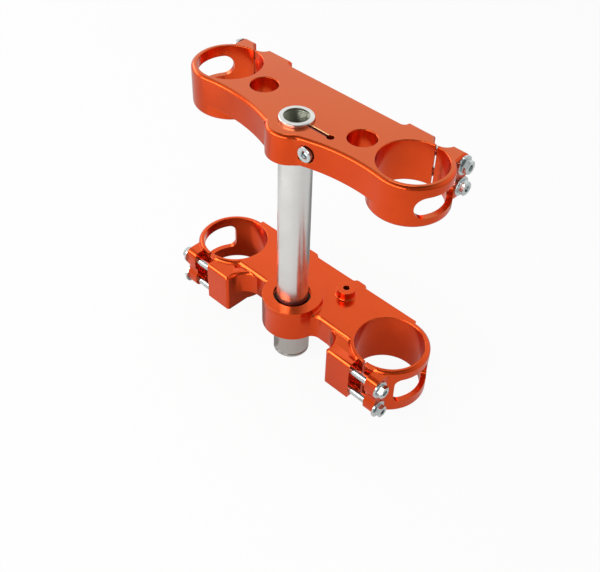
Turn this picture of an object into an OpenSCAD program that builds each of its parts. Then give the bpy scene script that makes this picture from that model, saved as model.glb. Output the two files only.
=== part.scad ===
// Triple clamp set: upper and lower fork clamp, steering stem and pinch bolts. Millimetres.
// Origin on the stem axis at the bearing seat of the lower clamp, Z up the stem,
// X along the line of the fork legs, Y towards the front of the bike.

/* [Layout] */
// Distance between the two fork leg axes
fork_spacing = 191.6; // [186:0.2:200]
// How far the fork legs sit ahead of the stem axis
fork_offset = 20.6; // [19:0.2:23]
// Height from the lower plate face to the upper clamp face
clamp_rise = 187.1; // [150:0.1:240]
// Height of the bearing seat above the lower plate face
seat_rise = 6.2; // [4:0.1:10]
// Bevel on the outer edges of both clamps
edge_bevel = 2; // [0.6:0.1:2.2]
// Bevel on the rims of the bores
rim_bevel = 0.5; // [0.2:0.1:1]
// Width of the saw slits
slit_width = 2; // [1.5:0.1:3]

/* [Upper clamp] */
// Bore for the upper fork tube
upper_bore = 54; // [50:0.1:55]
// Wall of the split ring
upper_wall = 5; // [4:0.1:6]
// Height of the split ring
upper_ring_height = 36; // [36:0.5:40]
// Thickness of the plate between the rings
upper_plate_height = 24.5; // [18:0.5:25.5]
// Thickness of the nose round the stem
upper_nose_height = 26; // [26:0.5:30]
// Radius of the nose
nose_radius = 19.2; // [18:0.1:20]
// How far the nose reaches back from the stem axis
nose_reach = 26.2; // [24:0.1:27]
// Radius that blends the nose into the long sweep
nose_blend = 8; // [6:0.5:10]
// Radius of the long sweep between nose and ring
sweep_radius = 149; // [140:1:160]
// Sideways place of the middle of that sweep
sweep_x = 67; // [64:0.5:70]
// Straight front edge of the plate, from the stem axis
upper_edge = 53.2; // [51:0.1:53.8]
// Front edge of the pinch blocks, from the stem axis
upper_block_edge = 58.6; // [58:0.1:61]
// Sideways place where the edge starts to sweep out to the pinch block
step_x = 58.4; // [55:0.2:59]
// Width of the block that carries the bolt threads
upper_block_width = 22; // [20:0.5:24]
// Distance between the handlebar mount holes
bar_spacing = 103.1; // [98:0.1:106]
// Handlebar mount holes ahead of the stem axis
bar_offset = 16.3; // [12:0.1:20]
// Bore for the handlebar mounts
bar_bore = 23; // [20:0.1:24]

/* [Upper pinch] */
// Radius of the round pinch gap
upper_gap_radius = 9.2; // [8.5:0.1:9.5]
// Seat of the bolt washers, from the bore axis
upper_seat = 21.6; // [20.8:0.1:23]
// Thin wall left between gap and bore
upper_gap_wall = 1.5; // [1.3:0.1:1.8]
// Bolt axis ahead of the bore axis
upper_bolt_y = 32.8; // [32.6:0.1:33]
// Upper bolt below the top face
upper_bolt_drop = 8.2; // [8:0.1:9.5]
// Distance between the two bolts
upper_bolt_pitch = 18.6; // [17:0.1:19]

/* [Upper window] */
// Height of the ring window
upper_window_height = 18.5; // [14:0.5:18.5]
// Middle of the window below the top face
upper_window_drop = 18.6; // [17.5:0.1:19]
// Angle from the middle of the window to the axis of its rounded ends
upper_window_turn = 29.5; // [20:0.5:30]

/* [Lower clamp] */
// Bore for the lower fork tube
lower_bore = 60; // [57:0.1:60.5]
// Wall of the split ring
lower_wall = 5; // [4.5:0.1:6]
// Height of the split ring
lower_ring_height = 48.5; // [46:0.5:52]
// Thickness of the plate between the rings
lower_plate_height = 25; // [20:0.5:28]
// Rear wall of the plate, from the stem axis
lower_rear_edge = -0.8; // [-2:0.1:0]
// Front wall of the plate, from the stem axis
lower_front_edge = 56.5; // [55:0.1:58]
// Radius of the stem boss
boss_radius = 26.8; // [25:0.1:28]
// Radius that blends the boss into the rear wall
boss_blend = 9; // [6:0.5:12]
// Radius at the foot of the raised boss
boss_foot = 1.5; // [0.5:0.1:2.5]
// Step from the plate face down to the pinch blocks
ledge_drop = 2.5; // [1.5:0.1:3.5]
// Radius of the scallop between rear wall and pinch block
scallop_radius = 18; // [14:0.5:18]
// Sideways place of the inner wall of the pinch block
block_x = 61; // [60:0.1:63]
// Rear face of the pinch block, from the stem axis
block_y = -22.3; // [-24:0.1:-22]
// Corner radius of the pinch block
block_round = 3; // [1:0.5:4]
// Depth of the pinch block below the plate face
block_depth = 42; // [41:0.5:46]
// Radius of the rear corners of the pinch ear
ear_round = 6; // [3:0.5:7]
// Depth of the waist of the ear between its two bolts
waist_depth = 2.5; // [1:0.1:2.5]
// Radius of that waist
waist_radius = 8; // [6:0.5:9]

/* [Lower pinch] */
// Inner face of the pinch gap, from the bore axis
lower_gap_in = 7.3; // [6.5:0.1:8]
// Outer face of the pinch gap, from the bore axis
lower_gap_out = 10.5; // [10:0.1:11]
// Seat of the bolt washers, from the bore axis
lower_seat = 21.7; // [20:0.1:24]
// Thin wall left between gap and bore
lower_gap_wall = 3; // [2.5:0.1:3.4]
// Bolt axis behind the bore axis
lower_bolt_y = 37.3; // [37.2:0.1:38.2]
// Upper bolt below the plate face
lower_bolt_drop = 12; // [11:0.1:13]
// Distance between the two bolts
lower_bolt_pitch = 24; // [22:0.1:25]

/* [Lower window] */
// Height of the ring window
lower_window_height = 27; // [16:0.5:28]
// Middle of the window below the plate face
lower_window_drop = 23; // [20:0.5:24]
// Angle from the middle of the window to the axis of its rounded ends
lower_window_turn = 30; // [20:0.5:32]
// Corner radius of the window
lower_window_round = 6.5; // [4:0.5:7]

/* [Guide bosses] */
// Distance between the guide bosses
guide_spacing = 59.8; // [56:0.1:64]
// Guide bosses ahead of the stem axis
guide_offset = 38; // [34:0.5:42]
// Radius of a guide boss
guide_radius = 8.3; // [7:0.1:9]
// Radius at the foot of a guide boss
guide_foot = 2; // [1:0.1:2.5]
// Height of a guide boss above the plate face
guide_height = 8; // [5:0.5:12]
// Tapped hole in a guide boss
guide_bore = 6; // [5:0.1:8]
// Depth of that tapped hole
guide_depth = 18; // [12:0.5:22]
// How far the lugs stand out of the front wall
lug_reach = 3; // [1:0.5:4]
// Width of a lug
lug_width = 12; // [8:0.5:16]

/* [Stem] */
// Radius of the stem between the clamps
stem_radius = 13.9; // [12.5:0.1:14.5]
// Radius of the pressed foot of the stem
foot_radius = 16.2; // [15.5:0.1:17]
// End of the foot below the bearing seat
foot_drop = 67; // [50:0.5:80]
// Top of the stem above the upper clamp
stem_stand = 2.8; // [1:0.1:5]
// Hollow of the stem
stem_hollow = 18; // [14:0.5:18]
// Tapped bore at the top of the stem
stem_thread = 20; // [19:0.1:21]
// Depth of that tapped bore
stem_thread_depth = 30; // [20:1:40]
// Radius of the recess round the stem in the bearing seat
seat_recess = 17; // [16.7:0.1:19]
// Depth of that recess
seat_recess_depth = 4; // [2:0.5:6]
// Groove near the end of the foot, distance from the end
groove_place = 4; // [3:0.5:8]
// Width of that groove
groove_width = 1.2; // [0.8:0.1:2]
// Depth of that groove
groove_depth = 0.7; // [0.3:0.1:1.2]

/* [Stem pinch] */
// Stem pinch bolt beside the stem axis
stem_bolt_x = 24; // [22:0.1:25]
// Stem pinch bolt below the upper face
stem_bolt_drop = 13; // [12:0.1:14]
// Floor of its counterbore behind the stem axis
stem_bolt_seat = 9; // [8:0.1:10]
// End of its thread ahead of the stem axis
stem_bolt_end = 20; // [16:0.5:24]
// Radius of the counterbore
counterbore = 7.6; // [7.2:0.1:8]
// Round hole at the end of the stem slit
relief_x = 34.7; // [32:0.1:37]
// Radius of that hole
relief_radius = 3.1; // [2:0.1:3.5]

/* [Bolts] */
// Radius of a bolt shank on its rolled thread
shank_radius = 3.6; // [3:0.1:3.7]
// Length of a pinch bolt under its head
bolt_length = 45; // [42:0.5:46]
// Radius of a pinch bolt head
head_radius = 5.9; // [5.5:0.1:6.5]
// Height of a pinch bolt head
head_height = 5; // [3.5:0.1:6]
// Radius of a washer
washer_radius = 7.8; // [7:0.1:8]
// Thickness of a washer
washer_height = 1.5; // [1:0.1:2]
// Radius of the stem pinch bolt head
cap_radius = 6.5; // [6:0.1:6.8]
// Height of the stem pinch bolt head
cap_height = 8; // [7:0.1:9]
// Hexagon socket across flats
socket_width = 5; // [4:0.5:6]
// Depth of the hexagon socket
socket_depth = 2.8; // [2:0.1:3]
// Gap all round a bolt in its clearance hole
bolt_clearance = 0.3; // [0.1:0.1:0.6]
// Gap all round a bolt in its tapped hole
thread_clearance = 0.05; // [0.02:0.01:0.1]
// Gap all round the stem in the upper clamp
stem_clearance = 0.05; // [0.02:0.01:0.1]

/* [Hidden] */
$fn = 96;
fork_x = fork_spacing / 2;
upper_z = clamp_rise - seat_rise;
lower_z = -seat_rise;
upper_radius = upper_bore / 2 + upper_wall;
lower_radius = lower_bore / 2 + lower_wall;
over = 1;
// How far two rounds that meet run into each other
bite = 0.05;
nose = [0, nose_radius - nose_reach];
sweep = [sweep_x,
    fork_offset - sqrt(pow(sweep_radius + upper_radius - bite, 2) - pow(fork_x - sweep_x, 2))];
blend = meet(nose, nose_radius + nose_blend - bite, sweep, sweep_radius - nose_blend + bite);
blend_end = sweep + (blend - sweep) * sweep_radius / norm(blend - sweep);
sweep_end = sweep + ([fork_x, fork_offset] - sweep) * sweep_radius / norm([fork_x, fork_offset] - sweep);
step_round = (upper_block_edge - upper_edge) / 2;
step_in = [step_x, upper_edge + step_round - bite];
step_out = [step_x + 2 * step_round - bite, upper_block_edge - step_round + bite];
upper_gap = [fork_x, fork_offset + upper_bore / 2 + upper_gap_wall + upper_gap_radius];
upper_ear = fork_x + upper_seat;
ear_root = fork_offset + sqrt(pow(upper_radius, 2) - pow(upper_seat, 2)) - over;
boss_reach = boss_radius + boss_blend - bite;
boss_corner = [sqrt(pow(boss_reach, 2) - pow(lower_rear_edge - boss_blend, 2)),
    lower_rear_edge - boss_blend + bite];
scallop = [block_x - scallop_radius + bite, lower_rear_edge - scallop_radius + bite];
block_corner = [block_x + block_round, block_y + block_round];
lower_gap = fork_x - lower_gap_in;
stem_bore = stem_radius + stem_clearance;
hole_radius = shank_radius + bolt_clearance;
tap_radius = shank_radius + thread_clearance;
orange = [0.85, 0.33, 0.12];
silver = [0.82, 0.83, 0.84];
zinc = [0.7, 0.73, 0.74];

// Point where two circles meet, on the left of the line from the first to the second
function meet(a, ra, b, rb) =
    let (d = norm(b - a), u = (b - a) / d, k = (ra * ra - rb * rb + d * d) / (2 * d))
    a + k * u + sqrt(ra * ra - k * k) * [-u[1], u[0]];

// Both sides of the bike
module both() {
    children();
    mirror([1, 0, 0]) children();
}

// Cylinder that narrows from one inset to another, hanging between two heights
module tapered(place, radius, low, high, inset_low, inset_high) {
    translate([place[0], place[1], low])
        cylinder(h = high - low, r1 = radius - inset_low, r2 = radius - inset_high);
}

// Prism between two heights
module slab(low, high) {
    translate([0, 0, low]) linear_extrude(high - low) children();
}

// Round bore with bevelled rims, between two heights
module bevelled_bore(place, radius, low, high, bevel) {
    tapered(place, radius, low - over, high + over, 0, 0);
    tapered(place, radius + bevel, high - bevel, high + over, bevel, -over);
    tapered(place, radius + bevel, low - over, low + bevel, -over, bevel);
}

// Ring standing between two heights, bevelled on its outer edges
module bevelled_post(place, radius, low, high, bevel) {
    tapered(place, radius, low + bevel, high - bevel, 0, 0);
    tapered(place, radius, high - bevel, high, 0, bevel);
    tapered(place, radius, low, low + bevel, bevel, 0);
}

// Window through the outboard wall of a ring, in the frame of its bore: two straight passes that
// overlap in the middle and each end square to the wall
module ring_window(reach, turn, height, middle, corner) {
    for (side = [0, 1]) mirror([0, side, 0]) rotate([0, 0, turn]) translate([0, 0, middle])
        rotate([90, 0, 90]) linear_extrude(reach) {
            translate([-reach * sin(turn), -height / 2]) square([reach * sin(turn), height]);
            if (corner < height / 2)
                translate([-corner, corner - height / 2]) square([2 * corner, height - 2 * corner]);
            for (level = [-1, 1]) translate([0, level * (height / 2 - corner)]) circle(corner);
        }
}

// Wedge along X that bevels a straight top edge of the side that faces front or rear
module edge_wedge(start, finish, edge, top, facing) {
    translate([start, edge, top]) rotate([90, 0, 90]) linear_extrude(finish - start)
        polygon([[facing * over, over], [-facing * (edge_bevel + over), over],
            [facing * over, -edge_bevel - over]]);
}

// Slice of the upper plate on one side, its edges set in from one inset to another
module upper_slice(low, high, inset_low, inset_high) {
    difference() {
        union() {
            difference() {
                slab(low, high) polygon([
                    [-over, 0], nose, blend, blend_end, sweep_end, [fork_x, fork_offset],
                    [upper_ear, ear_root], [upper_ear, upper_block_edge], [step_out[0], upper_block_edge],
                    step_out, [step_x + step_round, step_in[1]], [step_x, upper_edge], [-over, upper_edge]]);
                if (inset_high > 0) {
                    edge_wedge(-2 * over, step_x, upper_edge, high, 1);
                    edge_wedge(step_out[0], upper_ear + over, upper_block_edge, high, 1);
                    translate([upper_ear, upper_block_edge + over, high]) rotate([90, 0, 0])
                        linear_extrude(upper_block_edge + over - fork_offset)
                        polygon([[over, over], [-edge_bevel - over, over], [over, -edge_bevel - over]]);
                }
            }
            tapered(nose, nose_radius, low, high, inset_low, inset_high);
            tapered(step_out, step_round, low, high, inset_low, inset_high);
        }
        tapered(sweep, sweep_radius, low - over, low, -inset_low, -inset_low);
        tapered(sweep, sweep_radius, low, high, -inset_low, -inset_high);
        tapered(blend, nose_blend, low, high, -inset_low, -inset_high);
        tapered(step_in, step_round, low, high, -inset_low, -inset_high);
    }
}

// Upper clamp without its holes
module upper_body() {
    block_start = upper_gap[0] - upper_gap_radius - upper_block_width;
    both() {
        upper_slice(-upper_plate_height, -edge_bevel, 0, 0);
        upper_slice(-edge_bevel, 0, 0, edge_bevel);
        bevelled_post([fork_x, fork_offset], upper_radius, -upper_ring_height, 0, edge_bevel);
        slab(-upper_ring_height, -edge_bevel) polygon([
            [block_start, fork_offset], [fork_x, fork_offset], [upper_ear, ear_root],
            [upper_ear, upper_block_edge], [block_start, upper_block_edge]]);
    }
    tapered(nose, nose_radius, -upper_nose_height, -edge_bevel, 0, 0);
    tapered([0, 0], nose_radius + upper_wall, -upper_nose_height, -edge_bevel, 0, 0);
}

module upper_clamp() {
    color(orange) translate([0, 0, upper_z]) difference() {
        upper_body();
        both() {
            bevelled_bore([fork_x, fork_offset], upper_bore / 2, -upper_ring_height, 0, rim_bevel);
            bevelled_bore([bar_spacing / 2, bar_offset], bar_bore / 2, -upper_plate_height, 0, rim_bevel);
            tapered(upper_gap, upper_gap_radius, -upper_ring_height - over, over, 0, 0);
            slab(-upper_ring_height - over, over) translate([fork_x - slit_width / 2, fork_offset])
                square([slit_width, upper_block_edge - fork_offset]);
            translate([fork_x, fork_offset, 0])
                ring_window(upper_radius + over, upper_window_turn, upper_window_height, -upper_window_drop,
                    upper_window_height / 2);
            for (level = [0, 1])
                translate([fork_x, fork_offset + upper_bolt_y, -upper_bolt_drop - level * upper_bolt_pitch])
                    rotate([0, 90, 0]) {
                        cylinder(h = upper_seat + over, r = hole_radius);
                        translate([0, 0, upper_seat - bolt_length]) cylinder(h = bolt_length, r = tap_radius);
                    }
        }
        bevelled_bore([0, 0], stem_bore, -upper_nose_height, 0, rim_bevel);
        slab(-upper_nose_height - over, over) {
            translate([0, -slit_width / 2]) square([relief_x, slit_width]);
            translate([relief_x, 0]) circle(relief_radius);
        }
        translate([stem_bolt_x, 0, -stem_bolt_drop]) rotate([90, 0, 0]) {
            translate([0, 0, -stem_bolt_end]) cylinder(h = 2 * stem_bolt_end, r = tap_radius);
            cylinder(h = stem_bolt_end, r = hole_radius);
            translate([0, 0, stem_bolt_seat]) cylinder(h = 2 * cap_height, r = counterbore);
        }
    }
}

// Slice of the raised face of the lower clamp on one side, its rear edge set in from one inset to another
module face_slice(low, high, inset_low, inset_high) {
    difference() {
        slab(low, high) polygon([
            [-over, 0], [0, 0], boss_corner, [boss_corner[0], lower_rear_edge], [fork_x, lower_rear_edge],
            [fork_x, lower_front_edge], [-over, lower_front_edge]]);
        if (inset_high > 0) edge_wedge(boss_corner[0], fork_x + over, lower_rear_edge, high, -1);
        tapered(boss_corner, boss_blend, low, high, -inset_low, -inset_high);
    }
}

// Slice of the pinch block of the lower clamp on one side, its edges set in from one inset to another
module block_slice(low, high, inset_low, inset_high) {
    difference() {
        union() {
            difference() {
                slab(low, high) polygon([
                    [scallop[0], fork_offset], scallop, [block_x, scallop[1]], [block_x, block_corner[1]],
                    block_corner, [block_corner[0], block_y], [lower_gap, block_y], [lower_gap, fork_offset]]);
                if (inset_high > 0) edge_wedge(block_corner[0], lower_gap + over, block_y, high, -1);
            }
            tapered(block_corner, block_round + bite, low, high, inset_low, inset_high);
        }
        tapered(scallop, scallop_radius, low, high, -inset_low, -inset_high);
    }
}

// Pinch ear of the lower clamp, lobed round its two bolts
module lower_ear() {
    height = block_depth - ledge_drop;
    translate([fork_x + lower_gap_out, 0, 0]) rotate([90, 0, 90])
        linear_extrude(lower_seat - lower_gap_out) difference() {
            union() {
                translate([block_y + ear_round, -block_depth])
                    square([fork_offset - block_y - ear_round, height]);
                translate([block_y, ear_round - block_depth])
                    square([2 * ear_round, height - 2 * ear_round]);
                for (level = [-ledge_drop - ear_round, ear_round - block_depth])
                    translate([block_y + ear_round, level]) circle(ear_round);
            }
            translate([block_y + waist_depth - waist_radius, -lower_bolt_drop - lower_bolt_pitch / 2])
                circle(waist_radius);
        }
}

// Lower clamp without its holes
module lower_body() {
    both() {
        face_slice(-lower_plate_height, -edge_bevel, 0, 0);
        face_slice(-edge_bevel, 0, 0, edge_bevel);
        block_slice(-lower_plate_height, -ledge_drop - edge_bevel, 0, 0);
        block_slice(-ledge_drop - edge_bevel, -ledge_drop, 0, edge_bevel);
        intersection() {
            block_slice(-block_depth, -lower_plate_height, 0, 0);
            translate([block_x, block_y - over, -block_depth - over])
                cube([fork_x, fork_offset - block_y, block_depth]);
        }
        bevelled_post([fork_x, fork_offset], lower_radius, -lower_ring_height, 0, edge_bevel);
        lower_ear();
        slab(-lower_plate_height, 0) translate([guide_spacing / 2 - lug_width / 2, lower_front_edge - over])
            square([lug_width, lug_reach + over]);
        translate([guide_spacing / 2, guide_offset, 0]) footed_post(guide_radius, guide_height, guide_foot);
    }
    translate([0, 0, -lower_plate_height]) cylinder(h = lower_plate_height, r = boss_radius);
    footed_post(boss_radius, seat_rise, boss_foot);
}

// Post on the plate face with a round at its foot
module footed_post(radius, height, foot) {
    rotate_extrude() difference() {
        union() {
            square([radius, height]);
            square([radius + foot, foot]);
        }
        translate([radius + foot, foot]) circle(foot);
    }
}

module lower_clamp() {
    color(orange) translate([0, 0, lower_z]) difference() {
        lower_body();
        both() {
            bevelled_bore([fork_x, fork_offset], lower_bore / 2, -lower_ring_height, 0, rim_bevel);
            slab(-lower_ring_height - over, over) difference() {
                translate([lower_gap, -fork_offset - 2 * block_round])
                    square([lower_gap_in + lower_gap_out, 2 * fork_offset + 2 * block_round]);
                translate([fork_x, fork_offset]) circle(lower_bore / 2 + lower_gap_wall);
            }
            slab(-lower_ring_height - over, over) translate([fork_x - slit_width / 2, block_y])
                square([slit_width, fork_offset - block_y]);
            translate([fork_x, fork_offset, 0])
                ring_window(lower_radius + over, lower_window_turn, lower_window_height, -lower_window_drop,
                    lower_window_round);
            for (level = [0, 1])
                translate([fork_x, fork_offset - lower_bolt_y, -lower_bolt_drop - level * lower_bolt_pitch])
                    rotate([0, 90, 0]) {
                        cylinder(h = lower_seat + over, r = hole_radius);
                        translate([0, 0, lower_seat - bolt_length]) cylinder(h = bolt_length, r = tap_radius);
                    }
            translate([guide_spacing / 2, guide_offset, guide_height - guide_depth])
                cylinder(h = guide_depth + over, d = guide_bore);
        }
        bevelled_bore([0, 0], foot_radius, -lower_plate_height, seat_rise, rim_bevel);
        translate([0, 0, seat_rise - seat_recess_depth]) cylinder(h = seat_recess_depth + over, r = seat_recess);
    }
}

module steering_stem() {
    top = upper_z + stem_stand;
    color(silver) difference() {
        union() {
            tapered([0, 0], stem_radius, -seat_recess_depth, top - rim_bevel, 0, 0);
            tapered([0, 0], stem_radius, top - rim_bevel, top, 0, rim_bevel);
            tapered([0, 0], foot_radius, edge_bevel - foot_drop, -seat_recess_depth, 0, 0);
            tapered([0, 0], foot_radius, -foot_drop, edge_bevel - foot_drop, edge_bevel, 0);
        }
        tapered([0, 0], stem_hollow / 2, -foot_drop - over, top + over, 0, 0);
        tapered([0, 0], stem_thread / 2, top - stem_thread_depth, top + over, 0, 0);
        translate([0, 0, groove_place - foot_drop]) difference() {
            cylinder(h = groove_width, r = foot_radius + over);
            translate([0, 0, -over]) cylinder(h = groove_width + 2 * over, r = foot_radius - groove_depth);
        }
    }
}

// Bolt with its head up Z and the seat of the head at the origin
module bolt(length, radius, height, depth) {
    color(zinc) difference() {
        union() {
            tapered([0, 0], radius, 0, height - rim_bevel, 0, 0);
            tapered([0, 0], radius, height - rim_bevel, height, 0, rim_bevel);
            tapered([0, 0], shank_radius, rim_bevel - length, over, 0, 0);
            tapered([0, 0], shank_radius, -length, rim_bevel - length, rim_bevel, 0);
        }
        translate([0, 0, height - depth])
            cylinder(h = depth + over, d = socket_width / cos(30), $fn = 6);
    }
}

// Where a pinch bolt of one corner has its washer seat; side 1 is right, level 0 is the top bolt
module upper_seat_place(side, level) {
    translate([side * (fork_x + upper_seat), fork_offset + upper_bolt_y,
        upper_z - upper_bolt_drop - level * upper_bolt_pitch])
        rotate([0, side * 90, 0]) children();
}

module lower_seat_place(side, level) {
    translate([side * (fork_x + lower_seat), fork_offset - lower_bolt_y,
        lower_z - lower_bolt_drop - level * lower_bolt_pitch])
        rotate([0, side * 90, 0]) children();
}

module pinch_bolt() {
    translate([0, 0, washer_height]) bolt(bolt_length, head_radius, head_height, socket_depth);
}

module washer() {
    color(zinc) difference() {
        cylinder(h = washer_height, r = washer_radius);
        translate([0, 0, -over]) cylinder(h = washer_height + 2 * over, r = hole_radius);
    }
}

module stem_pinch_bolt() {
    translate([stem_bolt_x, -stem_bolt_seat, upper_z - stem_bolt_drop]) rotate([90, 0, 0])
        bolt(stem_bolt_seat + stem_bolt_end - over, cap_radius, cap_height, socket_depth);
}

upper_clamp();
lower_clamp();
steering_stem();
stem_pinch_bolt();
upper_seat_place(-1, 0) pinch_bolt();  // upper_bolt_left_top
upper_seat_place(-1, 1) pinch_bolt();  // upper_bolt_left_bottom
upper_seat_place(1, 0) pinch_bolt();  // upper_bolt_right_top
upper_seat_place(1, 1) pinch_bolt();  // upper_bolt_right_bottom
lower_seat_place(-1, 0) pinch_bolt();  // lower_bolt_left_top
lower_seat_place(-1, 1) pinch_bolt();  // lower_bolt_left_bottom
lower_seat_place(1, 0) pinch_bolt();  // lower_bolt_right_top
lower_seat_place(1, 1) pinch_bolt();  // lower_bolt_right_bottom
upper_seat_place(-1, 0) washer();  // upper_washer_left_top
upper_seat_place(-1, 1) washer();  // upper_washer_left_bottom
upper_seat_place(1, 0) washer();  // upper_washer_right_top
upper_seat_place(1, 1) washer();  // upper_washer_right_bottom
lower_seat_place(-1, 0) washer();  // lower_washer_left_top
lower_seat_place(-1, 1) washer();  // lower_washer_left_bottom
lower_seat_place(1, 0) washer();  // lower_washer_right_top
lower_seat_place(1, 1) washer();  // lower_washer_right_bottom
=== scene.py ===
import math

import bmesh
import bpy
from mathutils import Matrix, Vector


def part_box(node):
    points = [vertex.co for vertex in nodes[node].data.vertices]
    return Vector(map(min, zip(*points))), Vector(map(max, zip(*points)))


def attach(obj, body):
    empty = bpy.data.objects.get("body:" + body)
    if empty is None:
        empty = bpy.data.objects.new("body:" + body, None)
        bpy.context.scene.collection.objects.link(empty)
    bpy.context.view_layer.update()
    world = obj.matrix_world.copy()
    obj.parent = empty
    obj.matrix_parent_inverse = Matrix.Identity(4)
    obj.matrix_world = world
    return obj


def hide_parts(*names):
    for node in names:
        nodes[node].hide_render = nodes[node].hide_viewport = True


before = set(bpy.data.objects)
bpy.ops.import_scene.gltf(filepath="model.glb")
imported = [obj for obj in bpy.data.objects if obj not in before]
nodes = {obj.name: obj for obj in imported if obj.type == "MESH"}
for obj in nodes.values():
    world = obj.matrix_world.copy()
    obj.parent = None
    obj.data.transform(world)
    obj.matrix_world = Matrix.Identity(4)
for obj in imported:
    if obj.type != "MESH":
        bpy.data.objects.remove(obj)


def writeSize():
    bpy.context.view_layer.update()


writeSize()
print("stage: frame loaded,", len(nodes), "nodes")


# node building: one socket that takes arithmetic
class Wire:
    def __init__(self, tree, socket):
        self.tree, self.socket = tree, socket

    def maths(self, operation, *values):
        return build(self.tree, "ShaderNodeMath", dict(enumerate(values)), operation=operation)

    def __add__(self, other):
        return self.maths("ADD", self, other)

    def __radd__(self, other):
        return self.maths("ADD", other, self)

    def __sub__(self, other):
        return self.maths("SUBTRACT", self, other)

    def __rsub__(self, other):
        return self.maths("SUBTRACT", other, self)

    def __mul__(self, other):
        return self.maths("MULTIPLY", self, other)

    def __rmul__(self, other):
        return self.maths("MULTIPLY", other, self)

    def clipped(self):
        return self.maths("MAXIMUM", self.maths("MINIMUM", self, 1.0), 0.0)


def build(tree, kind, inputs=None, out=0, **settings):  # any node: settings first, then its sockets
    node = tree.nodes.new(kind)
    for key, value in settings.items():
        setattr(node, key, value)
    for place, value in (inputs or {}).items():
        if isinstance(value, Wire):
            tree.links.new(value.socket, node.inputs[place])
        else:
            node.inputs[place].default_value = value
    return Wire(tree, node.outputs[out])


def ramp(wire, low, high, toLow=0.0, toHigh=1.0):
    return build(wire.tree, "ShaderNodeMapRange", {0: wire, 1: low, 2: high, 3: toLow, 4: toHigh})


def blendColours(factor, first, second):
    return build(factor.tree, "ShaderNodeMix", {0: factor, 6: first, 7: second}, out=2, data_type="RGBA")


def along(tree, wire, axis):  # one coordinate of a vector
    return build(tree, "ShaderNodeSeparateXYZ", {0: wire}, out=axis)


def newMaterial(name, metallic):
    material = bpy.data.materials.new(name)
    material.use_nodes = True
    shader = material.node_tree.nodes["Principled BSDF"]
    shader.inputs["Metallic"].default_value = metallic
    return material, shader


mattRoughness = 0.9


def mattMaterial(name, grey):
    material, shader = newMaterial(name, 0.0)
    shader.inputs["Base Color"].default_value = (grey, grey, grey, 1)
    shader.inputs["Roughness"].default_value = mattRoughness
    return material, shader


def join(tree, wire, shader, name):
    tree.links.new(wire.socket, shader.inputs[name])


def stretched(tree, place, scale):  # object coordinates, finer along some axes
    return build(tree, "ShaderNodeMapping", {0: place, 3: scale})


def noise(tree, place, scale, detail, roughness):
    return build(tree, "ShaderNodeTexNoise", {"Vector": place, "Scale": scale, "Detail": detail,
                                              "Roughness": roughness})


noiseLow, noiseHigh = 0.3, 0.7  # where most values of a noise lie


def spread(wire, low=0.0, high=1.0):
    return ramp(wire, noiseLow, noiseHigh, low, high)


def grainyNormal(tree, grain, soft, look):  # softened edges with a fine grain on them
    return build(tree, "ShaderNodeBump", {"Height": grain, "Normal": soft, "Strength": look["grainStrength"],
                                          "Distance": look["grainDepth"]})


# orange anodised aluminium with rounded edges, lighter along them as slight wear and a painted highlight;
# each noise is a scale, detail and roughness
orangeLook = {
    "colourLow": (0.68, 0.062, 0.0065, 1), "colourHigh": (0.76, 0.073, 0.0080, 1), "metallic": 0.92,
    "cloud": (26.0, 4.0, 0.55), "cloudLow": 0.35, "cloudHigh": 0.65, "topSheenLeast": 0.8,
    "wearAndSheen": (0.92, 0.30, 0.060, 1), "wearAndSheenAmount": 0.5, "wear": (220.0, 3.0, 0.5), "wearLeast": 0.6,
    "edgeRadius": 0.0005, "edgeSamples": 6, "edgeStart": 0.995, "edgeEnd": 0.90, "edgeShine": 0.06,
    "upwardStart": 0.80, "upwardEnd": 0.98, "roughness": 0.20, "roughnessSwing": 0.03,
    "smudge": (1.0, 3.0, 0.6), "smudgeStretch": (18.0, 60.0, 60.0),
    "grain": (1500.0, 2.0, 0.6), "grainDepth": 0.00002, "grainStrength": 0.5,
    "coatRoughness": 0.14, "wallCoat": 0.11,
}
topCoatAndSheen = {  # coat of the faces that look up, and their colour, lighter as a painted sheen of the light from above
    "upper_clamp": (0.45, (0.67, 0.104, 0.0070, 1)),
    "lower_clamp": (0.26, (0.86, 0.090, 0.0080, 1)),
}
# saw slit in the upper clamp's top: a painted highlight along its far edge, painted shade along its near edge
slitLook = {
    "start": 0.0142, "end": 0.0322, "half": 0.0010, "wide": 0.0009, "overlap": 0.0001, "low": 0.170,
    "bright": (1.0, 0.72, 0.34, 1), "dark": (0.16, 0.014, 0.004, 1),
}


def band(wire, low, high):
    return wire.maths("GREATER_THAN", wire, low) * wire.maths("LESS_THAN", wire, high)


def slitHighlightAndShade(tree, place, upward, body):  # painted highlight on the far edge of the saw slit, painted shade on its near edge
    x, y, z = (along(tree, place, axis) for axis in "XYZ")
    near, far = slitLook["half"] - slitLook["overlap"], slitLook["half"] + slitLook["wide"]
    high = z.maths("GREATER_THAN", z, slitLook["low"])
    beside = band(x, slitLook["start"], slitLook["end"]) * high * upward
    body = blendColours(beside * band(y, near, far), body, slitLook["bright"])
    return blendColours(beside * band(y, -far, -near), body, slitLook["dark"])


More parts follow.
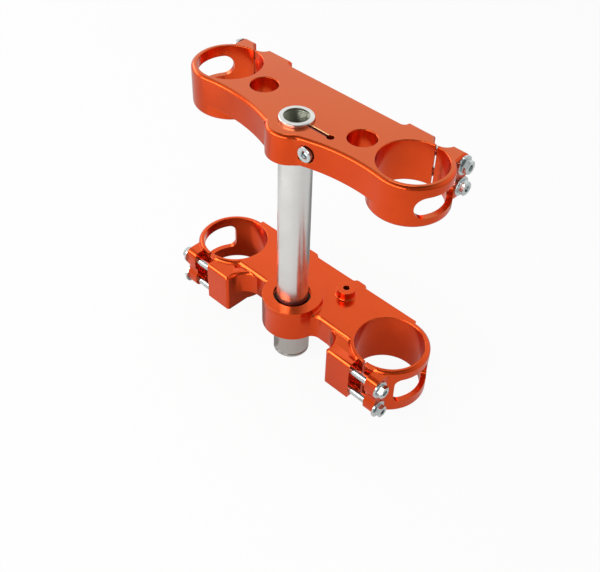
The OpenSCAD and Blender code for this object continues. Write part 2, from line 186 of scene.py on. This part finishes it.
def anodised(name, look, faceCoat, topSheenColour, slit):
    material, shader = newMaterial(name, look["metallic"])
    tree = material.node_tree
    place = build(tree, "ShaderNodeTexCoord", out="Object")
    cloud = noise(tree, place, *look["cloud"])
    wear = spread(noise(tree, place, *look["wear"]), look["wearLeast"])
    smudge = spread(noise(tree, stretched(tree, place, look["smudgeStretch"]), *look["smudge"]), -1.0)
    soft = build(tree, "ShaderNodeBevel", {"Radius": look["edgeRadius"]}, samples=look["edgeSamples"])
    flat = build(tree, "ShaderNodeNewGeometry", out="Normal")
    agree = build(tree, "ShaderNodeVectorMath", {0: soft, 1: flat}, out="Value", operation="DOT_PRODUCT")
    edge = ramp(agree, look["edgeStart"], look["edgeEnd"]) * look["wearAndSheenAmount"] * wear
    upward = ramp(along(tree, flat, "Z"), look["upwardStart"], look["upwardEnd"])
    mottle = ramp(cloud, look["cloudLow"], look["cloudHigh"])
    body = blendColours(mottle, look["colourLow"], look["colourHigh"])
    # faces that look up take a lighter colour: a painted sheen of the light from above
    body = blendColours(upward * spread(cloud, look["topSheenLeast"]), body, topSheenColour)
    # edges turn lighter: partly slight wear, partly a painted highlight
    body = blendColours(edge.clipped(), body, look["wearAndSheen"])
    if slit:
        body = slitHighlightAndShade(tree, place, upward, body)
    join(tree, body, shader, "Base Color")
    gloss = look["roughness"] + look["roughnessSwing"] * smudge - look["edgeShine"] * edge
    join(tree, gloss, shader, "Roughness")
    shader.inputs["Coat Roughness"].default_value = look["coatRoughness"]
    join(tree, look["wallCoat"] + (faceCoat - look["wallCoat"]) * upward, shader, "Coat Weight")
    grain = noise(tree, place, *look["grain"])
    join(tree, grainyNormal(tree, grain, soft, look), shader, "Normal")
    return material


# bare metal: fine turned rings on the stem, plated steel on the fasteners
stemLook = {
    "colourLow": (0.70, 0.70, 0.68, 1), "colourHigh": (0.80, 0.80, 0.78, 1), "cloud": (40.0, 4.0, 0.6),
    "roughness": 0.24, "roughnessSwing": 0.04, "streak": 0.6, "streakTurn": 0.25,
    "grain": (1.0, 3.0, 0.6), "grainStretch": (120.0, 120.0, 4200.0), "grainDepth": 0.000008,
    "grainStrength": 0.6, "edgeRadius": 0.0005, "edgeSamples": 4,
}
zincLook = {
    "colourLow": (0.50, 0.55, 0.56, 1), "colourHigh": (0.72, 0.77, 0.76, 1), "cloud": (260.0, 4.0, 0.6),
    "roughness": 0.18, "roughnessSwing": 0.06, "streak": 0.0, "streakTurn": 0.25,
    "grain": (1.0, 3.0, 0.6), "grainStretch": (900.0, 900.0, 900.0), "grainDepth": 0.000015,
    "grainStrength": 0.6, "edgeRadius": 0.0003, "edgeSamples": 4,
}
stemShading = {
    "bore": (0.34, 0.35, 0.27, 1), "boreRadius": 0.0104, "boreFade": 0.0001, "boreLeast": 0.75,
    "seat": (0.035, 0.018, 0.012, 1), "seatFoot": -0.0047, "seatLow": -0.0045, "seatMiddle": -0.0025,
    "seatHigh": -0.0005, "foot": (0.50, 0.49, 0.46, 1), "footTop": -0.040, "footFade": 0.003,
}


def shadedStem(tree, place, cloud, body):  # painted shade inside the bore and in the gap where the stem sits in the lower clamp, a darker grey foot
    flat = build(tree, "ShaderNodeVectorMath", {0: place, 1: (1, 1, 0)}, operation="MULTIPLY")
    reach = build(tree, "ShaderNodeVectorMath", {0: flat}, out="Value", operation="LENGTH")
    radius, fade = stemShading["boreRadius"], stemShading["boreFade"]
    # inside the bore the colour is darkened: painted shade
    inside = ramp(reach, radius + fade, radius - fade) * spread(cloud, stemShading["boreLeast"])
    body = blendColours(inside, body, stemShading["bore"])
    height = along(tree, place, "Z")
    # a near-black band where the stem sits in the lower clamp's recess: painted shade in the gap
    gap = (ramp(height, stemShading["seatFoot"], stemShading["seatLow"])
           * ramp(height, stemShading["seatHigh"], stemShading["seatMiddle"]))
    body = blendColours(gap.clipped(), body, stemShading["seat"])
    # below footTop the stem turns a darker grey
    top = stemShading["footTop"]
    return blendColours(ramp(height, top, top - stemShading["footFade"]), body, stemShading["foot"])


def bareMetal(name, look, stem):
    material, shader = newMaterial(name, 1.0)
    tree = material.node_tree
    place = build(tree, "ShaderNodeTexCoord", out="Object")
    cloud = noise(tree, place, *look["cloud"])
    body = blendColours(spread(cloud), look["colourLow"], look["colourHigh"])
    if stem:
        body = shadedStem(tree, place, cloud, body)
    join(tree, body, shader, "Base Color")
    shader.inputs["Anisotropic"].default_value = look["streak"]
    shader.inputs["Anisotropic Rotation"].default_value = look["streakTurn"]
    join(tree, look["roughness"] + look["roughnessSwing"] * spread(cloud, -1.0), shader, "Roughness")
    soft = build(tree, "ShaderNodeBevel", {"Radius": look["edgeRadius"]}, samples=look["edgeSamples"])
    grain = noise(tree, stretched(tree, place, look["grainStretch"]), *look["grain"])
    join(tree, grainyNormal(tree, grain, soft, look), shader, "Normal")
    return material


orangeMetal = {name: anodised(name + "Orange", orangeLook, *face, slit=name == "upper_clamp")
               for name, face in topCoatAndSheen.items()}
stemMetal = bareMetal("turnedAluminium", stemLook, True)
zincMetal = bareMetal("zincPlate", zincLook, False)
for name, node in nodes.items():
    node.data.materials.clear()
    if name.endswith("clamp"):
        node.data.materials.append(orangeMetal[name])
    elif name == "steering_stem":
        node.data.materials.append(stemMetal)
    else:
        node.data.materials.append(zincMetal)
print("stage: materials on every node")


def cleanBox(name):  # a node's box in whole thousandths of a millimetre
    return [[round(value, 6) for value in corner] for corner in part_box(name)]


# clamps with rounded edges: a merged copy of each node, its wide bevels turned into rounds
upperTop = cleanBox("upper_clamp")[1][2]
capLow, capHigh = cleanBox("stem_pinch_bolt")
roundLook = {
    "bevel": 0.002, "bevelPlay": 0.00007, "slantLeast": 0.62, "slantMost": 0.78,
    "foldLeast": 0.6, "foldMost": 0.95, "round": 0.0009, "steps": 3, "merge": 0.00009, "scrap": 0.00002,
    "flatDegrees": 0.5, "sharpDegrees": 27, "weight": 60,
}
capLook = {  # stem pinch bolt's head in its counterbore
    "head": 0.0065, "height": 0.008, "clear": 0.0095, "crisp": 0.013, "facing": -0.9,
}
capSeat = (capHigh[0] - capLook["head"], capLow[1] + capLook["height"], (capLow[2] + capHigh[2]) / 2)
noseLook = {
    "middle": -0.0070, "radius": 0.01919, "half": 0.0021, "front": -0.0260, "inside": -0.0225,
    "play": 0.00005, "sides": 0.022, "back": -0.0130,
    "sliverTurn": 0.35, "sliverSlantLeast": 0.6, "sliverSlantMost": 0.8,
}
bossLook = {"radius": 0.0268, "reach": 0.0285, "low": -0.0063, "high": -0.0046, "behind": -0.0045}
frontLook = {"edge": 0.0563, "end": 0.090, "tall": 0.020, "lugRound": 0.0022, "endRound": 0.0006, "steps": 4}


def fromCap(place):  # distance from the axis of the stem pinch bolt
    return math.hypot(place.x - capSeat[0], place.z - capSeat[2])


def fillNose(shape):  # the bevel of the nose runs on round its middle
    low = upperTop - roundLook["bevel"]
    for corner in shape.verts:
        x, y, z = corner.co
        if (abs(x) < noseLook["half"] and z > low - noseLook["play"]
                and noseLook["front"] < y < noseLook["inside"]):
            corner.co.y = noseLook["middle"] - math.sqrt((noseLook["radius"] - (z - low)) ** 2 - x ** 2)


def drawInBoss(shape):  # the boss runs down into the rear wall without a lip
    radius = bossLook["radius"]
    for corner in shape.verts:
        reach = math.hypot(corner.co.x, corner.co.y)
        if (radius < reach < bossLook["reach"] and corner.co.y < bossLook["behind"]
                and bossLook["low"] < corner.co.z < bossLook["high"]):
            corner.co.x *= radius / reach
            corner.co.y *= radius / reach


def isBevel(face):  # a face of the wide bevels, but not of the counterbore
    heights = [corner.co.z for corner in face.verts]
    return (roundLook["slantLeast"] < abs(face.normal.z) < roundLook["slantMost"]
            and fromCap(face.calc_center_median()) > capLook["clear"]
            and abs(max(heights) - min(heights) - roundLook["bevel"]) < roundLook["bevelPlay"])


def isSliver(face, edge):  # a sliver of the nose's bevel, across an edge from the rest of it
    middle = face.calc_center_median()
    return (noseLook["sliverSlantLeast"] < abs(face.normal.z) < noseLook["sliverSlantMost"]
            and edge.calc_face_angle(math.pi) < noseLook["sliverTurn"]
            and abs(middle.x) < noseLook["sides"] and middle.y < noseLook["back"])


def bevelEdges(shape):  # the edges where a bevel meets a flat face or a wall
    found = {face for face in shape.faces if isBevel(face)}
    waiting = list(found)
    while waiting:
        for edge in waiting.pop().edges:
            for face in edge.link_faces:
                if face not in found and isSliver(face, edge):
                    found.add(face)
                    waiting.append(face)
    return [edge for edge in shape.edges
            if len(edge.link_faces) == 2 and len(found.intersection(edge.link_faces)) == 1
            and roundLook["foldLeast"] < edge.calc_face_angle() < roundLook["foldMost"]]


def roundEdges(shape, edges, offset, steps):
    bmesh.ops.bevel(shape, geom=edges, offset=offset, segments=steps, profile=0.5, affect="EDGES",
                    clamp_overlap=False, offset_type="OFFSET")


def roundFront(shape):  # soft upright corners on the lugs and at the ends of the front wall
    for lug in (True, False):
        upright = [edge for edge in shape.edges
                   if all(corner.co.y > frontLook["edge"] for corner in edge.verts)
                   and abs(edge.verts[0].co.z - edge.verts[1].co.z) > frontLook["tall"]
                   and (abs(edge.verts[0].co.x) < frontLook["end"]) == lug]
        roundEdges(shape, upright, frontLook["lugRound" if lug else "endRound"], frontLook["steps"])


def shadedMesh(name, shape, sharpDegrees):
    mesh = bpy.data.meshes.new(name)
    shape.to_mesh(mesh)
    shape.free()
    mesh.shade_smooth()
    mesh.set_sharp_from_angle(angle=math.radians(sharpDegrees))
    return mesh


def plainCopy(carrier, modifier):  # the mesh that a modifier makes, without the modifier
    graph = bpy.context.evaluated_depsgraph_get()
    mesh = bpy.data.meshes.new_from_object(carrier.evaluated_get(graph), depsgraph=graph)
    carrier.modifiers.remove(modifier)
    return mesh


def newPiece(name, mesh):
    piece = bpy.data.objects.new(name, mesh)
    bpy.context.collection.objects.link(piece)
    return piece


def roundedClamp(name):
    shape = bmesh.new()
    shape.from_mesh(nodes[name].data)
    if name == "upper_clamp":
        fillNose(shape)
    bmesh.ops.remove_doubles(shape, verts=shape.verts, dist=roundLook["merge"])
    bmesh.ops.dissolve_degenerate(shape, dist=roundLook["scrap"], edges=shape.edges)
    bmesh.ops.dissolve_limit(shape, angle_limit=math.radians(roundLook["flatDegrees"]), verts=shape.verts,
                             edges=shape.edges)
    if name == "lower_clamp":
        drawInBoss(shape)
    shape.normal_update()
    edges = bevelEdges(shape)
    count = len(edges)
    roundEdges(shape, edges, roundLook["round"], roundLook["steps"])
    if name == "lower_clamp":
        roundFront(shape)
    bmesh.ops.recalc_face_normals(shape, faces=shape.faces)
    mesh = shadedMesh(name + "Rounded", shape, roundLook["sharpDegrees"])
    if name == "upper_clamp":
        for face in mesh.polygons:  # the counterbore's rim stays crisp
            crisp = face.normal.y < capLook["facing"] and face.center.y < 0
            face.use_smooth = not (crisp and fromCap(face.center) < capLook["crisp"])
    mesh.materials.append(orangeMetal[name])
    piece = newPiece(name + "Rounded", mesh)
    modifier = piece.modifiers.new("evenNormals", "WEIGHTED_NORMAL")
    modifier.keep_sharp = True
    modifier.weight = roundLook["weight"]
    piece.data = plainCopy(piece, modifier)
    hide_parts(name)
    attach(piece, "root")
    print("stage:", name, "with", count, "edges rounded,", len(piece.data.polygons), "faces")


for name in ("upper_clamp", "lower_clamp"):
    roundedClamp(name)


# rings of a turned or hexagonal shape: each gives a radius and a height at an angle
def flatRadius(flats, angle):  # distance from the axis to the flats of a hexagon at an angle
    return flats / 2 / math.cos((angle + math.pi / 6) % (math.pi / 3) - math.pi / 6)


def circle(radius, height):
    return lambda angle: (radius, height)


def hexagon(flats, height, share=1.0):
    return lambda angle: (share * flatRadius(flats, angle), height)


def socketRings(form):
    flats, top = form["socketFlats"], form["headHeight"]
    floor = top - form["socketDepth"]
    return [hexagon(flats, floor - form["drillTip"], form["pin"]), hexagon(flats, floor),
            hexagon(flats, top - form["mouthDepth"]), hexagon(flats, top, form["mouthShare"])]


def shankRings(form):
    radius, tip, bevel = form["shank"], -form["length"], form["tipBevel"]
    return [circle(radius, 0.0), circle(radius, tip + bevel), circle(radius - bevel, tip),
            circle(form["tipMiddle"], tip)]


millimetre = 0.001


def meshFromRings(name, rings, form):
    shape = bmesh.new()
    steps = form["steps"]
    loops = []
    for ring in rings:
        loop = []
        for step in range(steps):
            angle = 2 * math.pi * step / steps
            radius, height = ring(angle)
            loop.append(shape.verts.new((radius * math.cos(angle) * millimetre,
                                         radius * math.sin(angle) * millimetre, height * millimetre)))
        loops.append(loop)
    for upper, lower in zip(loops, loops[1:]):
        for step in range(steps):
            after = (step + 1) % steps
            shape.faces.new((upper[step], upper[after], lower[after], lower[step]))
    shape.faces.new(loops[0])
    shape.faces.new(reversed(loops[-1]))
    bmesh.ops.recalc_face_normals(shape, faces=shape.faces)
    return shadedMesh(name, shape, form["sharpDegrees"])


# pinch bolts: hexagon head with a chamfered top and a hexagon socket, on a plain shank
boltForm = {
    "flats": 10.0, "crown": 4.7, "chamferDegrees": 30, "headHeight": 5.0, "headRound": 0.35,
    "socketFlats": 5.0, "socketDepth": 2.8, "drillTip": 0.5, "pin": 0.02,
    "mouthDepth": 0.2, "mouthShare": 1.07, "shank": 3.6, "length": 45.0, "tipBevel": 0.5,
    "tipMiddle": 0.05, "steps": 72, "sharpDegrees": 28,
}
boltTurn = 0.35  # each head of a clamp is turned this much further, in radians


def boltRings(form):
    top, flats, crown = form["headHeight"], form["flats"], form["crown"]
    slope = math.tan(math.radians(form["chamferDegrees"]))

    def shoulder(angle):  # the chamfer comes down further on the corners than on the flats
        reach = flatRadius(flats, angle)
        return reach, top - (reach - crown) * slope

    def foot(angle):
        return flatRadius(flats, angle) - form["headRound"], 0.0

    return [*socketRings(form), circle(crown, top), shoulder, hexagon(flats, form["headRound"]), foot,
            *shankRings(form)]


def nodeTree(name, sockets):
    tree = bpy.data.node_groups.new(name, "GeometryNodeTree")
    for label, kind in sockets:
        tree.interface.new_socket(label, in_out="INPUT", socket_type="NodeSocket" + kind)
    tree.interface.new_socket("Geometry", in_out="OUTPUT", socket_type="NodeSocketGeometry")
    entry = tree.nodes.new("NodeGroupInput")
    return tree, {item.name: Wire(tree, item) for item in entry.outputs if item.name}


def setInput(modifier, label, value):
    for item in modifier.node_group.interface.items_tree:
        if item.item_type == "SOCKET" and item.in_out == "INPUT" and item.name == label:
            modifier[item.identifier] = value


def grown(name, base, tree, values):  # runs a node tree on a base mesh and keeps the plain result
    carrier = newPiece(name + "Carrier", base)
    modifier = carrier.modifiers.new(name, "NODES")
    modifier.node_group = tree
    for label, value in values.items():
        setInput(modifier, label, value)
    mesh = plainCopy(carrier, modifier)
    bpy.data.objects.remove(carrier)
    return newPiece(name, mesh)


def boltTree():
    tree, given = nodeTree("pinchBoltRow", (
        ("Seats", "Geometry"), ("Bolt", "Object"), ("Finish", "Material")))
    bolt = build(tree, "GeometryNodeObjectInfo", {"Object": given["Bolt"]}, out="Geometry")
    turn = build(tree, "GeometryNodeInputNamedAttribute", {"Name": "turn"}, data_type="FLOAT_VECTOR")
    spin = build(tree, "FunctionNodeEulerToRotation", {0: turn})
    placed = build(tree, "GeometryNodeInstanceOnPoints", {"Points": given["Seats"], "Instance": bolt,
                                                         "Rotation": spin})
    solid = build(tree, "GeometryNodeRealizeInstances", {0: placed})
    done = build(tree, "GeometryNodeSetMaterial", {"Geometry": solid, "Material": given["Finish"]})
    tree.links.new(done.socket, tree.nodes.new("NodeGroupOutput").inputs[0])
    return tree


corners = ((-1, "left", "top"), (-1, "left", "bottom"), (1, "right", "top"), (1, "right", "bottom"))
seats = []
turns = []
for clamp in ("upper", "lower"):
    for number, (side, hand, row) in enumerate(corners):
        low, high = cleanBox(f"{clamp}_washer_{hand}_{row}")
        outside = high[0] if side > 0 else low[0]
        seats.append((outside, (low[1] + high[1]) / 2, (low[2] + high[2]) / 2))
        facing = Matrix.Rotation(side * math.pi / 2, 3, "Y")
        turns.append((facing @ Matrix.Rotation(number * boltTurn, 3, "Z")).to_euler())
seatMesh = bpy.data.meshes.new("boltSeats")
seatMesh.from_pydata(seats, [], [])
turnValues = seatMesh.attributes.new("turn", "FLOAT_VECTOR", "POINT")
for item, turn in zip(turnValues.data, turns):
    item.vector = turn
boltSource = newPiece("boltSource", meshFromRings("boltSource", boltRings(boltForm), boltForm))
pinchBolts = grown("pinchBolts", seatMesh, boltTree(), {"Bolt": boltSource, "Finish": zincMetal})
bpy.data.objects.remove(boltSource)
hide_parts(*[name for name in nodes if name.startswith(("upper_bolt", "lower_bolt"))])
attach(pinchBolts, "root")
print("stage: pinch bolts,", len(seats), "of them")

# stem pinch bolt: round socket head in its counterbore
capForm = {
    "head": capLook["head"] / millimetre, "headHeight": capLook["height"] / millimetre,
    "rim": 0.6, "footRound": 0.3,
    "socketFlats": 6.0, "socketDepth": 4.0, "drillTip": 0.8, "pin": 0.02,
    "mouthDepth": 0.5, "mouthShare": 1.14, "shank": 3.6, "length": 28.0, "tipBevel": 0.5,
    "tipMiddle": 0.05, "steps": 72, "sharpDegrees": 28,
}


def capRings(form):
    head, top, foot = form["head"], form["headHeight"], form["footRound"]
    return [*socketRings(form), circle(head - form["rim"], top), circle(head, top - form["rim"]),
            circle(head, foot), circle(head - foot, 0.0), *shankRings(form)]


stemBolt = newPiece("stemPinchBolt", meshFromRings("stemPinchBolt", capRings(capForm), capForm))
stemBolt.data.transform(Matrix.Translation(capSeat) @ Matrix.Rotation(math.pi / 2, 4, "X"))
stemBolt.data.materials.append(zincMetal)
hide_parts("stem_pinch_bolt")
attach(stemBolt, "root")
print("stage: stem pinch bolt")

# thread ridges in the top of the stem
threadForm = {"radius": 0.01005, "ridge": 0.00062, "pitch": 0.0015, "depth": 0.027, "lead": 0.0016,
              "bend": 64, "profile": 6}


def threadTree():
    tree, given = nodeTree("stemThread", (
        ("Geometry", "Geometry"), ("Radius", "Float"), ("Turns", "Float"), ("Depth", "Float"),
        ("Ridge", "Float"), ("Low end", "Float"), ("Finish", "Material")))
    path = build(tree, "GeometryNodeCurveSpiral", {
        "Resolution": threadForm["bend"], "Rotations": given["Turns"], "Start Radius": given["Radius"],
        "End Radius": given["Radius"], "Height": given["Depth"]})
    ridge = build(tree, "GeometryNodeCurvePrimitiveCircle", {
        "Resolution": threadForm["profile"], "Radius": given["Ridge"]}, out="Curve", mode="RADIUS")
    swept = build(tree, "GeometryNodeCurveToMesh", {"Curve": path, "Profile Curve": ridge, "Fill Caps": True})
    lift = build(tree, "ShaderNodeCombineXYZ", {2: given["Low end"]})
    raised = build(tree, "GeometryNodeTransform", {"Geometry": swept, "Translation": lift})
    solid = build(tree, "GeometryNodeRealizeInstances", {0: raised})
    done = build(tree, "GeometryNodeSetMaterial", {"Geometry": solid, "Material": given["Finish"]})
    tree.links.new(done.socket, tree.nodes.new("NodeGroupOutput").inputs[0])
    return tree


threadLow = cleanBox("steering_stem")[1][2] - threadForm["lead"] - threadForm["depth"]
stemThread = grown("stemThread", bpy.data.meshes.new("threadBase"), threadTree(), {
    "Radius": threadForm["radius"], "Turns": threadForm["depth"] / threadForm["pitch"],
    "Depth": threadForm["depth"], "Ridge": threadForm["ridge"], "Low end": threadLow, "Finish": stemMetal})
stemThread.data.shade_smooth()
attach(stemThread, "root")
print("stage: stem thread,", len(stemThread.data.polygons), "faces")

# floor: white to the camera where no shadow falls, pale to the metal
floorLook = {"gap": 0.00002, "size": 8.0, "albedo": 0.75, "glow": 0.93, "mirrored": 0.25}
floorLevel = cleanBox("steering_stem")[0][2] - floorLook["gap"]
bpy.ops.mesh.primitive_plane_add(size=floorLook["size"], location=(0, 0, floorLevel))
floor = bpy.context.object
floor.name = "floor"
floorMaterial, floorShader = mattMaterial("paleFloor", floorLook["albedo"])
floorShader.inputs["Specular IOR Level"].default_value = 0.0
floorTree = floorMaterial.node_tree
glow = build(floorTree, "ShaderNodeEmission", {"Color": (1, 1, 1, 1), "Strength": 1.0})
seen = build(floorTree, "ShaderNodeLightPath", out="Is Camera Ray")
mirrored = build(floorTree, "ShaderNodeLightPath", out="Is Glossy Ray")
share = seen * floorLook["glow"] + mirrored * floorLook["mirrored"]
plain = Wire(floorTree, floorShader.outputs[0])
mixed = build(floorTree, "ShaderNodeMixShader", {0: share, 1: plain, 2: glow})
floorTree.links.new(mixed.socket, floorTree.nodes["Material Output"].inputs["Surface"])
floor.data.materials.append(floorMaterial)

# studio: bright behind the object, dim overhead and in front; white behind it to the camera
studioLook = {
    "level": 0.88, "ceilingStart": 0.70, "ceilingEnd": 0.93, "ceilingShare": 0.12,
    "front": (0.68, -0.73, 0.0), "frontStart": 0.0, "frontEnd": 0.7, "frontShare": 0.35,
    "behindStart": -0.1, "behindEnd": -0.5, "behindTop": 0.68, "behindFull": 0.58,
}
world = bpy.data.worlds.new("studio")
bpy.context.scene.world = world
world.use_nodes = True
studioTree = world.node_tree
heading = build(studioTree, "ShaderNodeTexCoord", out="Generated")
height = along(studioTree, heading, "Z")
ahead = build(studioTree, "ShaderNodeVectorMath", {0: heading, 1: studioLook["front"]}, out="Value",
              operation="DOT_PRODUCT")
level = ramp(height, studioLook["ceilingStart"], studioLook["ceilingEnd"], studioLook["level"],
             studioLook["ceilingShare"])
level = level * ramp(ahead, studioLook["frontStart"], studioLook["frontEnd"], 1.0, studioLook["frontShare"])
room = build(studioTree, "ShaderNodeBackground", {"Color": (1, 1, 1, 1), "Strength": level})
plainWhite = build(studioTree, "ShaderNodeBackground", {"Color": (1, 1, 1, 1), "Strength": 1.0})
seen = build(studioTree, "ShaderNodeLightPath", out="Is Camera Ray")
mirrored = build(studioTree, "ShaderNodeLightPath", out="Is Glossy Ray")
behind = (ramp(ahead, studioLook["behindStart"], studioLook["behindEnd"])
          * ramp(height, studioLook["behindTop"], studioLook["behindFull"]))
mixed = build(studioTree, "ShaderNodeMixShader", {0: seen + mirrored * behind, 1: room, 2: plainWhite})
studioTree.links.new(mixed.socket, studioTree.nodes["World Output"].inputs["Surface"])

lamps = {  # place, aim, width, height, power
    "keyLight": ((-0.20, -1.15, 0.74), (0.0, 0.0, 0.05), 1.9, 0.45, 17.0),
    "sideLight": ((-1.1, -0.1, 0.6), (0.0, 0.0, 0.05), 0.9, 0.35, 3.0),
    "topLight": ((-0.3, 0.3, 1.5), (0.0, 0.0, 0.0), 0.5, 0.5, 2.0),
}
for name, (place, aim, width, tall, power) in lamps.items():
    light = bpy.data.lights.new(name, "AREA")
    light.shape = "RECTANGLE"
    light.size, light.size_y, light.energy = width, tall, power
    lamp = newPiece(name, light)
    lamp.location = place
    lamp.rotation_euler = (Vector(aim) - Vector(place)).to_track_quat("-Z", "Y").to_euler()
print("stage: floor, studio and", len(lamps), "lamps")

# cards on the floor, seen only in reflections: behind the object, far to its left and under its left end
cardLift = 0.001
cards = {  # corner, size, grey
    "darkCard": ((-0.10, 0.11), (0.20, 0.22), 0.28),
    "greyCard": ((-0.62, -0.30), (0.36, 0.62), 0.55),
    "lowCard": ((-0.115, -0.03), (0.105, 0.10), 0.40),
}
for name, ((x, y), (wide, deep), grey) in cards.items():
    card = newPiece(name, bpy.data.meshes.new(name))
    outline = ((x, y), (x + wide, y), (x + wide, y + deep), (x, y + deep))
    card.data.from_pydata([(*corner, floorLevel + cardLift) for corner in outline], [], [(0, 1, 2, 3)])
    card.data.materials.append(mattMaterial(name, grey)[0])
    card.visible_camera = card.visible_diffuse = card.visible_shadow = False

# camera at the photograph's viewpoint
cameraLook = {
    "azimuth": 43.041, "elevation": 43.068, "roll": 1.83, "place": (0.41178, -0.43057, 0.56522),
    "focal": 929.73, "width": 600, "sensor": 36.0, "shift": (-0.6, 0.6), "nearest": 0.01,
}
azimuth, elevation, roll = (math.radians(cameraLook[key]) for key in ("azimuth", "elevation", "roll"))
back = Vector((math.sin(azimuth) * math.cos(elevation), -math.cos(azimuth) * math.cos(elevation),
               math.sin(elevation)))
right = Vector((0, 0, 1)).cross(back).normalized()
above = back.cross(right)
right, above = (math.cos(roll) * right + math.sin(roll) * above,
                math.cos(roll) * above - math.sin(roll) * right)
cameraData = bpy.data.cameras.new("camera")
cameraData.sensor_width = cameraLook["sensor"]
cameraData.lens = cameraLook["focal"] / cameraLook["width"] * cameraLook["sensor"]
cameraData.shift_x, cameraData.shift_y = (pixels / cameraLook["width"] for pixels in cameraLook["shift"])
cameraData.clip_start = cameraLook["nearest"]
camera = newPiece("camera", cameraData)
turned = Matrix((right, above, back)).transposed().to_4x4()
camera.matrix_world = Matrix.Translation(cameraLook["place"]) @ turned
bpy.context.scene.camera = camera
bpy.context.scene.view_settings.view_transform = "Standard"

writeSize()
print("stage: camera set")
